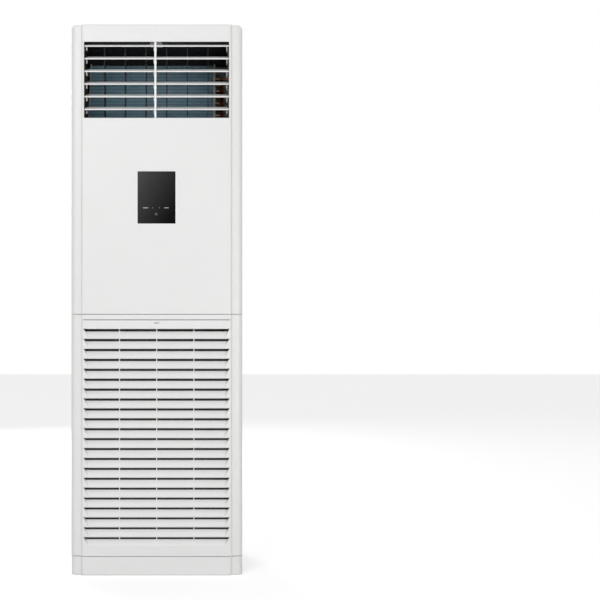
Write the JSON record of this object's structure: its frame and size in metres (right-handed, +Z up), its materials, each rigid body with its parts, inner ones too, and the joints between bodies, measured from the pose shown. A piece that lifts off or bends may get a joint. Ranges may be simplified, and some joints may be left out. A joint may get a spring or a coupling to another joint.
{
  "type": "floor standing air conditioner",
  "caption": "Tall indoor cabinet air conditioner with tilting slats above, swinging vanes, a touch display and a louvred intake panel that tilts open over a lift-out filter.",
  "frame": {"origin": "on the floor below the middle of the cabinet", "axes": "+Z up; the front with the slats faces -Y; +X is to the right as the front is seen"},
  "size_m": [0.58, 0.4, 1.86],
  "materials": {
    "white_plastic": "satin",
    "dark_plastic": "matte",
    "filter_net": "matte",
    "black_glass": "gloss",
    "circuit_board": "satin",
    "fin_aluminium": "satin",
    "copper": "satin",
    "brass_fittings": "satin",
    "galvanised_steel": "satin",
    "painted_steel": "satin",
    "zinc_steel": "satin",
    "motor_paint": "satin",
    "foam": "matte",
    "pan_plastic": "matte"
  },
  "bodies": {
    "cabinet": {"upper_front_panel": "white_plastic", "plinth": "white_plastic", "panel_hinge_pins": "zinc_steel", "panel_catches": "white_plastic", "outlet_frame": "white_plastic", "swing_motor": "white_plastic", "display_glass": "black_glass", "display_tray": "dark_plastic", "display_board": "circuit_board", "coil_fins": "fin_aluminium", "coil_end_plates": "galvanised_steel", "coil_hairpins": "copper", "coil_return_bends": "copper", "temperature_sensors": "brass_fittings", "gas_pipe": "copper", "liquid_pipe": "copper", "flare_unions": "brass_fittings", "drain_pan": "pan_plastic", "drain_pipe": "pan_plastic", "duct_liner": "foam", "base_pan": "galvanised_steel", "left_side_panel": "painted_steel", "right_side_panel": "painted_steel", "rear_panel": "painted_steel", "top_cover": "painted_steel", "casing_screws": "zinc_steel", "front_rail": "galvanised_steel", "partition_plate": "galvanised_steel", "scroll_housing_front": "galvanised_steel", "scroll_housing_rear": "galvanised_steel", "bellmouth_ring": "pan_plastic", "fan_motor": "motor_paint", "motor_bracket": "galvanised_steel", "electric_box": "galvanised_steel", "electric_box_cover": "galvanised_steel", "control_board": "circuit_board", "terminal_block": "dark_plastic", "run_capacitor": "dark_plastic", "pipe_port_cover": "dark_plastic", "cable_gland": "dark_plastic"},
    "intake_grille": {"intake_panel": "white_plastic"},
    "air_filter": {"filter_frame": "dark_plastic", "filter_mesh": "filter_net"},
    "slat_1": {"slat_1": "white_plastic"},
    "slat_2": {"slat_2": "white_plastic"},
    "slat_3": {"slat_3": "white_plastic"},
    "slat_4": {"slat_4": "white_plastic"},
    "slat_5": {"slat_5": "white_plastic"},
    "slat_6": {"slat_6": "white_plastic"},
    "slat_link": {"slat_link_bar": "dark_plastic"},
    "vane_1": {"vane_1": "dark_plastic"},
    "vane_2": {"vane_2": "dark_plastic"},
    "vane_3": {"vane_3": "dark_plastic"},
    "vane_4": {"vane_4": "dark_plastic"},
    "vane_5": {"vane_5": "dark_plastic"},
    "vane_6": {"vane_6": "dark_plastic"},
    "vane_link": {"vane_link_bar": "dark_plastic"},
    "fan_rotor": {"fan_wheel": "pan_plastic", "fan_shaft": "zinc_steel", "hub_nut": "zinc_steel"}
  },
  "joints": [
    {"name": "intake_panel_tilt", "type": "hinge", "parent": "cabinet", "child": "intake_grille", "pos_m": [0, -0.19, 0.05], "axis": [1, 0, 0], "range_deg": [0, 25]},
    {"name": "filter_slide", "type": "slide", "parent": "intake_grille", "child": "air_filter", "axis": [0, 0, 1], "range_m": [0, 0.045]},
    {"name": "slat_1_tilt", "type": "hinge", "parent": "cabinet", "child": "slat_1", "pos_m": [0, -0.172, 1.78015], "axis": [1, 0, 0], "range_deg": [-25, 60]},
    {"name": "slat_2_tilt", "type": "hinge", "parent": "cabinet", "child": "slat_2", "pos_m": [0, -0.172, 1.7373], "axis": [1, 0, 0], "range_deg": [-25, 60]},
    {"name": "slat_3_tilt", "type": "hinge", "parent": "cabinet", "child": "slat_3", "pos_m": [0, -0.172, 1.69445], "axis": [1, 0, 0], "range_deg": [-25, 60]},
    {"name": "slat_4_tilt", "type": "hinge", "parent": "cabinet", "child": "slat_4", "pos_m": [0, -0.172, 1.6516], "axis": [1, 0, 0], "range_deg": [-25, 60]},
    {"name": "slat_5_tilt", "type": "hinge", "parent": "cabinet", "child": "slat_5", "pos_m": [0, -0.172, 1.60875], "axis": [1, 0, 0], "range_deg": [-25, 60]},
    {"name": "slat_6_tilt", "type": "hinge", "parent": "cabinet", "child": "slat_6", "pos_m": [0, -0.172, 1.5659], "axis": [1, 0, 0], "range_deg": [-25, 60]},
    {"name": "slat_link_turn", "type": "hinge", "parent": "slat_1", "child": "slat_link", "pos_m": [0, -0.15674, 1.77534], "axis": [1, 0, 0], "range_deg": [-60, 25]},
    {"name": "vane_1_swing", "type": "hinge", "parent": "cabinet", "child": "vane_1", "pos_m": [-0.18125, -0.112, 1.6], "axis": [0, 0, 1], "range_deg": [-35, 35]},
    {"name": "vane_2_swing", "type": "hinge", "parent": "cabinet", "child": "vane_2", "pos_m": [-0.11035, -0.112, 1.6], "axis": [0, 0, 1], "range_deg": [-35, 35]},
    {"name": "vane_3_swing", "type": "hinge", "parent": "cabinet", "child": "vane_3", "pos_m": [-0.03945, -0.112, 1.6], "axis": [0, 0, 1], "range_deg": [-35, 35]},
    {"name": "vane_4_swing", "type": "hinge", "parent": "cabinet", "child": "vane_4", "pos_m": [0.03145, -0.112, 1.6], "axis": [0, 0, 1], "range_deg": [-35, 35]},
    {"name": "vane_5_swing", "type": "hinge", "parent": "cabinet", "child": "vane_5", "pos_m": [0.10235, -0.112, 1.6], "axis": [0, 0, 1], "range_deg": [-35, 35]},
    {"name": "vane_6_swing", "type": "hinge", "parent": "cabinet", "child": "vane_6", "pos_m": [0.17325, -0.112, 1.6], "axis": [0, 0, 1], "range_deg": [-35, 35]},
    {"name": "vane_link_turn", "type": "hinge", "parent": "vane_1", "child": "vane_link", "pos_m": [-0.18125, -0.092, 1.5487], "axis": [0, 0, 1], "range_deg": [-35, 35]},
    {"name": "fan_spin", "type": "hinge", "parent": "cabinet", "child": "fan_rotor", "pos_m": [0, 0, 0.4], "axis": [0, 1, 0], "continuous": true}
  ],
  "couplings": [
    {"joint": "slat_2_tilt", "follows": "slat_1_tilt", "ratio": 1},
    {"joint": "slat_3_tilt", "follows": "slat_1_tilt", "ratio": 1},
    {"joint": "slat_4_tilt", "follows": "slat_1_tilt", "ratio": 1},
    {"joint": "slat_5_tilt", "follows": "slat_1_tilt", "ratio": 1},
    {"joint": "slat_6_tilt", "follows": "slat_1_tilt", "ratio": 1},
    {"joint": "slat_link_turn", "follows": "slat_1_tilt", "ratio": -1},
    {"joint": "vane_2_swing", "follows": "vane_1_swing", "ratio": 1},
    {"joint": "vane_3_swing", "follows": "vane_1_swing", "ratio": 1},
    {"joint": "vane_4_swing", "follows": "vane_1_swing", "ratio": 1},
    {"joint": "vane_5_swing", "follows": "vane_1_swing", "ratio": 1},
    {"joint": "vane_6_swing", "follows": "vane_1_swing", "ratio": 1},
    {"joint": "vane_link_turn", "follows": "vane_1_swing", "ratio": -1}
  ]
}
